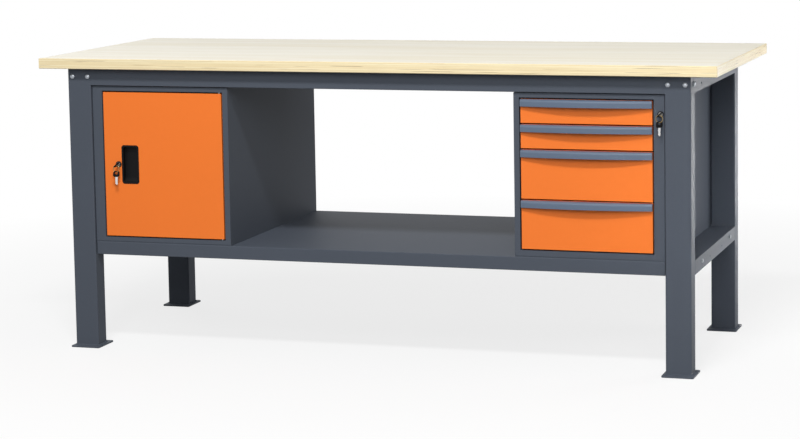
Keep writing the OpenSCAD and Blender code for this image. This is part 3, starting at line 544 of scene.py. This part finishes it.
def key_head(name, place):
    """Moulded head: a rounded plate whose section runs from its rim to its hole."""
    half = HEAD_THICK / 2
    points = []
    for step in range(HEAD_STEPS):
        turn = math.tau * step / HEAD_STEPS
        rim = Vector((-HEAD_LENGTH / 2 + HEAD_LENGTH / 2 * bowed(math.cos(turn)),
                      HEAD_WIDTH / 2 * bowed(math.sin(turn))))
        hole = Vector((HOLE_X + HOLE_WIDTH / 2 * math.cos(turn),
                       HOLE_WIDTH / 2 * math.sin(turn)))
        out = (rim - hole).normalized()
        section = [(rim - out * half * (1 - math.cos(angle)), half * math.sin(angle))
                   for angle in map(math.radians, range(-90, 91, 30))]
        section += [(hole + out * HOLE_LIP * (1 - math.cos(angle)), half * math.sin(angle))
                    for angle in map(math.radians, range(90, -91, -45))]
        points += [(spot.x, spot.y, height) for spot, height in section]
    per_section = len(points) // HEAD_STEPS
    return mesh_piece(name, points, grid_faces(HEAD_STEPS, per_section, True), place)


def key_blade(name, place):
    """Cut blade: notches along one edge and a sloping tip, where the last notch runs out."""
    half = BLADE_WIDTH / 2
    outline = [(-BLADE_ROOT, -half), (BLADE_LENGTH - BLADE_TIP, -half),
               (BLADE_LENGTH, BLADE_TIP - half)]
    for notch, depth in reversed(list(enumerate(NOTCH_DEPTHS))):
        middle = NOTCH_FIRST + NOTCH_PITCH * notch
        past_tip = max(0.0, middle + depth - BLADE_LENGTH)
        outline += [(middle + depth - past_tip, half - past_tip), (middle, half - depth),
                    (middle - depth, half)]
    outline.append((-BLADE_ROOT, half))
    return slab(name, outline, BLADE_THICK, place, BLADE_EDGE)


def wire_section():
    """Outline of the flat wire, outwards and upwards, with its corners cut."""
    across = RING_WIRE / 2
    thick = RING_WIRE / 4
    cut_across = RING_CORNER * across
    cut_thick = RING_CORNER * thick
    return [(across, -cut_thick), (across, cut_thick), (cut_across, thick),
            (-cut_across, thick), (-across, cut_thick), (-across, -cut_thick),
            (-cut_across, -thick), (cut_across, -thick)]


def split_ring(name, place):
    """Two turns of flat wire that lie on each other; the wire crosses over between them."""
    section = wire_section()
    points = []
    for step in range(RING_STEPS + 1):
        turn = (math.tau * RING_TURNS - RING_END_GAP) * step / RING_STEPS
        crossed = (turn - math.tau + RING_CROSS_LEAD) / RING_CROSS_SPAN
        crossed = min(max(crossed, 0.0), 1.0)
        eased = crossed * crossed * (3 - 2 * crossed)
        lift = RING_WIRE / 4 * (2 * eased - 1)
        for out, up in section:
            radius = RING_RADIUS + out
            points.append((radius * math.cos(turn), radius * math.sin(turn), lift + up))
    count = len(section)
    faces = grid_faces(RING_STEPS + 1, count, False)
    faces += [tuple(range(count)),
              tuple(range(RING_STEPS * count, (RING_STEPS + 1) * count))]
    return mesh_piece(name, points, faces, place)


def keys_of(lock):
    """The key in a lock, its ring and the spare key on the ring."""
    hang = Matrix.Translation(JOINT_AT[lock + "_ring_hang"])
    swing = Matrix.Translation(JOINT_AT[lock + "_spare_key_swing"])
    hole_to_origin = Matrix.Translation((-HOLE_X, 0, 0))
    stands_forward = Matrix(((0, 0, 1, 0), (1, 0, 0, 0), (0, 1, 0, 0), (0, 0, 0, 1)))
    hangs_down = Matrix(((0, 1, 0, 0), (0, 0, -1, 0), (-1, 0, 0, 0), (0, 0, 0, 1)))
    in_lock = hang @ Matrix.Rotation(KEY_TILT, 4, "Y") @ stands_forward @ hole_to_origin
    spare = swing @ Matrix.Rotation(SPARE_TURN, 4, "Z") @ hangs_down @ hole_to_origin
    for name, place in ((lock + "_key", in_lock), (lock + "_spare_key", spare)):
        body = BODY_OF[name]
        add_piece(key_blade(name + "_blade", place), body, "key_steel", name)
        add_piece(key_head(name + "_head", place), body, "black_plastic")
    ring = (hang @ Matrix.Translation((0, 0, -RING_DROP)) @ Matrix.Rotation(RING_TURN, 4, "Z")
            @ Matrix.Rotation(math.pi / 2, 4, "X"))
    name = lock + "_key_ring"
    add_piece(split_ring(name + "_coiled", ring), BODY_OF[name], "ring_brass", name)


for lock in ("door", "drawer"):
    keys_of(lock)


# ---- repeated details, made by geometry nodes ----

RIPPLE_SHAPE = (1.0, 1.0, 0.8)


def geometry_tree(name, inputs):
    """A geometry node group with the given named inputs after its geometry."""
    group = bpy.data.node_groups.new(name, "GeometryNodeTree")
    group.interface.new_socket("Geometry", in_out="INPUT", socket_type="NodeSocketGeometry")
    for label, (kind, default) in inputs.items():
        socket = group.interface.new_socket(label, in_out="INPUT", socket_type=kind)
        if default is not None:
            socket.default_value = default
    group.interface.new_socket("Geometry", in_out="OUTPUT", socket_type="NodeSocketGeometry")
    tree = Tree(group)
    return group, tree, tree.node("NodeGroupInput").outputs, tree.node("NodeGroupOutput")


def small_ball(tree, radius):
    """A ball of few faces, because there are hundreds of them."""
    ball = tree.node("GeometryNodeMeshUVSphere", {"Segments": 8, "Rings": 5, "Radius": radius})
    return ball.outputs["Mesh"]


def finish_tree(tree, out, instances, material):
    """Ends a tree: real geometry, smooth, in its finish."""
    real = tree.node("GeometryNodeRealizeInstances", {"Geometry": instances})
    smooth = tree.node("GeometryNodeSetShadeSmooth", {"Geometry": real.outputs["Geometry"]})
    painted = tree.node("GeometryNodeSetMaterial", {"Geometry": smooth.outputs["Geometry"],
                                                    "Material": material})
    tree.feed(out.inputs["Geometry"], painted.outputs["Geometry"])


def make_weld_tree():
    """Overlapping ripples of a weld bead along the edges of a path."""
    group, tree, given, out = geometry_tree("weld_bead", {
        "Pitch": (FLOAT, 3 * MM), "Bead radius": (FLOAT, 3 * MM),
        "Finish": ("NodeSocketMaterial", None)})
    path = tree.node("GeometryNodeMeshToCurve", {"Mesh": given["Geometry"]})
    spots = tree.node("GeometryNodeCurveToPoints", {"Curve": path.outputs["Curve"],
                                                    "Length": given["Pitch"]}, mode="LENGTH")
    placed = tree.node("GeometryNodeInstanceOnPoints", {
        "Points": spots.outputs["Points"], "Instance": small_ball(tree, given["Bead radius"]),
        "Rotation": spots.outputs["Rotation"], "Scale": RIPPLE_SHAPE})
    finish_tree(tree, out, placed.outputs["Instances"], given["Finish"])
    return group


def make_ball_tree():
    """Rows of bearing balls: one row from each point of the given mesh."""
    group, tree, given, out = geometry_tree("ball_rows", {
        "Count": ("NodeSocketInt", 10), "Step": ("NodeSocketVector", (0, 12 * MM, 0)),
        "Ball radius": (FLOAT, 0.85 * MM), "Finish": ("NodeSocketMaterial", None)})
    row = tree.node("GeometryNodeMeshLine", {"Count": given["Count"], "Offset": given["Step"]})
    rows = tree.node("GeometryNodeInstanceOnPoints", {"Points": given["Geometry"],
                                                      "Instance": row.outputs["Mesh"]})
    spots = tree.node("GeometryNodeRealizeInstances", {"Geometry": rows.outputs["Instances"]})
    placed = tree.node("GeometryNodeInstanceOnPoints", {
        "Points": spots.outputs["Geometry"],
        "Instance": small_ball(tree, given["Ball radius"])})
    finish_tree(tree, out, placed.outputs["Instances"], given["Finish"])
    return group


def grown(name, tree, points, edges, **values):
    """Runs a geometry tree on a few points and edges, and keeps the plain mesh."""
    mesh = bpy.data.meshes.new(name)
    mesh.from_pydata(points, edges, [])
    piece = new_object(name, mesh)
    modifier = piece.modifiers.new("grown", "NODES")
    modifier.node_group = tree
    wanted = {label.replace("_", " "): value for label, value in values.items()}
    for item in tree.interface.items_tree:
        if item.in_out == "INPUT" and item.name in wanted:
            modifier[item.identifier] = wanted[item.name]
    bake(piece)
    return piece


# ---- weld beads ----

LEG_WIDTH = 72 * MM
WELD_RADIUS = 3 * MM
WELD_PITCH = 3.2 * MM
RAIL_WELD_DEPTH = 2 * MM


def add_path(points, edges, path, closed):
    """Adds the line through a path's points to lists of points and edges."""
    first = len(points)
    count = len(path)
    points += path
    for step in range(count if closed else count - 1):
        edges.append((first + step, first + (step + 1) % count))


def weld_beads():
    """Beads round the legs on their foot plates and at the lower rails' ends."""
    plate_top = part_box("foot_plates")[1].z
    points = []
    edges = []
    for legs in ("front_legs", "rear_legs"):
        low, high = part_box(legs)
        for side in (-1, 1):
            outer = side * high.x
            inner = side * (high.x - LEG_WIDTH)
            corners = [(outer, low.y, plate_top), (inner, low.y, plate_top),
                       (inner, high.y, plate_top), (outer, high.y, plate_top)]
            add_path(points, edges, corners, True)
    low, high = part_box("side_lower_rails")
    for side in (-1, 1):
        x = side * (high.x - RAIL_WELD_DEPTH)
        for y in (low.y, high.y):
            ends = [(x, y, low.z + WELD_RADIUS), (x, y, high.z - WELD_RADIUS)]
            add_path(points, edges, ends, False)
    beads = grown("weld_beads", make_weld_tree(), points, edges, Pitch=WELD_PITCH,
                  Bead_radius=WELD_RADIUS, Finish=FINISHES["grey_paint"])
    add_piece(beads, "bench", "grey_paint")


weld_beads()


# ---- the runners' middle members: a channel at each side of a drawer, with its balls ----

RUNNER_SHEET = 1.2 * MM
MIDDLE_DEPTH = 8.8 * MM
MIDDLE_HALF = 14.5 * MM
RUNNER_EDGE = 0.4 * MM
BALL_RADIUS = 0.85 * MM
BALL_PITCH = 12 * MM
BALL_MARGIN = 8 * MM
CAGE_MARGIN = 5 * MM
CAGE_HALF_WIDTH = 1.9 * MM
CAGE_HALF_THICK = 0.3 * MM
CAGE_EDGE = 0.12 * MM
# a row's place: how far from the channel's back, and how far above or below its middle
OUTER_ROW = (3.4 * MM, 15.35 * MM)
INNER_ROW = (5.9 * MM, 12.45 * MM)
BALL_TREE = make_ball_tree()


def channel_section():
    """Outline of a channel: distance from its back, and height from its middle."""
    sheet = RUNNER_SHEET
    depth = MIDDLE_DEPTH
    half = MIDDLE_HALF
    return [(0, -half), (depth, -half), (depth, sheet - half), (sheet, sheet - half),
            (sheet, half - sheet), (depth, half - sheet), (depth, half), (0, half)]


def middle_runners(number):
    """Both middle members of a drawer's runners, with balls and the cages that hold them."""
    node = f"drawer_{number}_middle_runners"
    body = BODY_OF[node]
    low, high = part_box(node)
    level = (low.z + high.z) / 2
    middle = (low.y + high.y) / 2
    channels = ([], [])
    cages = ([], [])
    first_balls = []
    rows = [(OUTER_ROW, middle, high.y, side) for side in (-1, 1)]
    rows += [(INNER_ROW, low.y, middle, side) for side in (-1, 1)]
    for back, inward in ((low.x, 1), (high.x, -1)):
        outline = [(back + inward * across, level + up) for across, up in channel_section()]
        add_bar(*channels, outline, low.y, high.y)
        for (across, up), row_low, row_high, side in rows:
            x = back + inward * across
            z = level + side * up
            first_balls.append((x, row_low + BALL_MARGIN, z))
            strip = [(x + a * CAGE_HALF_WIDTH, z + b * CAGE_HALF_THICK)
                     for a, b in ((-1, -1), (1, -1), (1, 1), (-1, 1))]
            add_bar(*cages, strip, row_low + CAGE_MARGIN, row_high - CAGE_MARGIN)
    channel_piece = mesh_piece(f"middle_runners_{number}_channels", *channels)
    round_edges(channel_piece, RUNNER_EDGE)
    add_piece(channel_piece, body, "zinc_plated_steel", node)
    cage_piece = mesh_piece(f"middle_runners_{number}_cages", *cages, smooth=False)
    round_edges(cage_piece, CAGE_EDGE, segments=1)
    add_piece(cage_piece, body, "zinc_plated_steel")
    row_length = (high.y - low.y) / 2 - 2 * BALL_MARGIN
    balls = grown(f"middle_runners_{number}_balls", BALL_TREE, first_balls, [],
                  Count=int(row_length / BALL_PITCH) + 1, Step=(0, BALL_PITCH, 0),
                  Ball_radius=BALL_RADIUS, Finish=FINISHES["key_steel"])
    add_piece(balls, body, "key_steel")


for number in DRAWERS:
    middle_runners(number)


# ---- stage ----

WHITE = (1, 1, 1, 1)
FLOOR_REACH = 40.0
FLOOR_SEEN = (0.86, 0.86, 0.86, 1)
FLOOR_BOUNCED = (0.24, 0.24, 0.24, 1)
# from the middle of the floor, in metres: the shadow is strongest within the first distance
# and gone past the second, where the floor is plain white
SHADOW_NEAR = 1.1
SHADOW_FAR = 3.0
GLOW_NEAR = 0.78
AMBIENT = 0.22


def seen_directly(tree):
    """1 for rays that show the background: from the camera, mirrored or through glass."""
    path = tree.node("ShaderNodeLightPath").outputs
    return tree.math("MAXIMUM", path["Is Camera Ray"],
                     tree.math("MAXIMUM", path["Is Glossy Ray"], path["Is Transmission Ray"]))


def mix_shaders(tree, factor, first, second):
    """The first shader where the factor is 0 and the second where it is 1."""
    made = tree.node("ShaderNodeMixShader", {"Fac": factor, 1: first, 2: second})
    return made.outputs[0]


def floor_material():
    """White to the eye with a faint shadow; dim to light that bounces off it."""
    material = bpy.data.materials.new("floor")
    material.use_nodes = True
    tree = Tree(material.node_tree)
    tree.tree.nodes.clear()
    seen = tree.node("ShaderNodeBsdfDiffuse", {"Color": FLOOR_SEEN})
    lit = tree.node("ShaderNodeEmission", {"Color": WHITE, "Strength": 1.0})
    bounced = tree.node("ShaderNodeBsdfDiffuse", {"Color": FLOOR_BOUNCED})
    away = tree.node("ShaderNodeVectorMath", {0: tree.object_place()}, operation="LENGTH")
    glow = tree.remap(away.outputs["Value"], SHADOW_NEAR, SHADOW_FAR, GLOW_NEAR, 1.0)
    shown = mix_shaders(tree, glow, seen.outputs[0], lit.outputs[0])
    both = mix_shaders(tree, seen_directly(tree), bounced.outputs[0], shown)
    out = tree.node("ShaderNodeOutputMaterial")
    tree.feed(out.inputs["Surface"], both)
    return material


def make_floor():
    """A floor that reaches past every view of it."""
    reach = FLOOR_REACH
    corners = [(-reach, -reach, 0), (reach, -reach, 0), (reach, reach, 0), (-reach, reach, 0)]
    mesh = bpy.data.meshes.new("floor")
    mesh.from_pydata(corners, [], [(0, 1, 2, 3)])
    floor = new_object("floor", mesh)
    mesh.materials.append(floor_material())


def make_world():
    """White to the eye, and weak as a light."""
    world = bpy.data.worlds.new("studio")
    bpy.context.scene.world = world
    world.use_nodes = True
    tree = Tree(world.node_tree)
    back = world.node_tree.nodes["Background"]
    back.inputs["Color"].default_value = WHITE
    added = tree.math("MULTIPLY", seen_directly(tree), 1.0 - AMBIENT)
    tree.feed(back.inputs["Strength"], tree.math("ADD", AMBIENT, added))


def area_light(name, place, target, width, height, level, spread=180):
    """A lamp that the camera doesn't see. Level 1 shows a colour facing it about as written;
    a spread below 180 degrees narrows the beam and keeps its level on the target."""
    aim = Vector(target) - Vector(place)
    half = math.radians(spread / 2)
    narrowed = 1.0 if spread == 180 else math.tan(half) / (math.tan(half) - half)
    light = bpy.data.lights.new(name, "AREA")
    light.shape = "RECTANGLE"
    light.size = width
    light.size_y = height
    light.energy = level * (math.pi * aim.length) ** 2 / narrowed
    light.spread = 2 * half
    lamp = bpy.data.objects.new(name, light)
    lamp.location = place
    lamp.visible_camera = False
    lamp.rotation_euler = aim.to_track_quat("-Z", "Y").to_euler()
    bpy.context.scene.collection.objects.link(lamp)


def make_lights():
    # high in front: the worktop's edge shades the rear half of the shelf
    area_light("key", (0.6, -3.8, 4.9), (0, -0.3, 0.5), 1.8, 0.6, 0.66)
    # broad and lower, for soft shadows under the handles and the rails
    area_light("front_fill", (1.6, -5.6, 3.2), (0, -0.3, 0.5), 3.2, 2.4, 0.42)
    # three small ones for the right end: its frame, its rear edges and the front leg's side
    area_light("right_side", (1.65, 0.5, 0.6), (0.92, -0.1, 0.5), 0.5, 0.4, 0.4)
    area_light("right_rear", (1.56, 2.7, 0.3), (1.0, -0.1, 0.36), 0.6, 0.6, 0.46, spread=22)
    area_light("right_front", (2.6, -3.4, 1.0), (1.14, -0.36, 0.45), 0.5, 0.5, 0.5, spread=14)
    # weak, for the views from behind
    area_light("rear", (-3.6, 3.2, 3.4), (0, 0.2, 0.6), 2.6, 1.6, 0.1)


def make_camera():
    """A long lens a little above the worktop, turned left and slightly down."""
    place = (2.1342, -6.4602, 1.3931)
    turned_left = 0.2988
    turned_down = 0.1092
    rolled = 0.0142
    camera = new_object("camera", bpy.data.cameras.new("camera"))
    camera.data.sensor_fit = "HORIZONTAL"
    camera.data.sensor_width = 36.0
    camera.data.lens = 103.94
    camera.data.shift_x = -0.0687
    camera.data.shift_y = -0.1244
    camera.data.clip_end = 200.0
    turn = (Matrix.Rotation(turned_left, 4, "Z")
            @ Matrix.Rotation(math.pi / 2 - turned_down, 4, "X")
            @ Matrix.Rotation(-rolled, 4, "Z"))
    camera.matrix_world = Matrix.Translation(place) @ turn
    bpy.context.scene.camera = camera


make_floor()
make_world()
make_lights()
make_camera()
bpy.context.scene.view_settings.view_transform = "Standard"
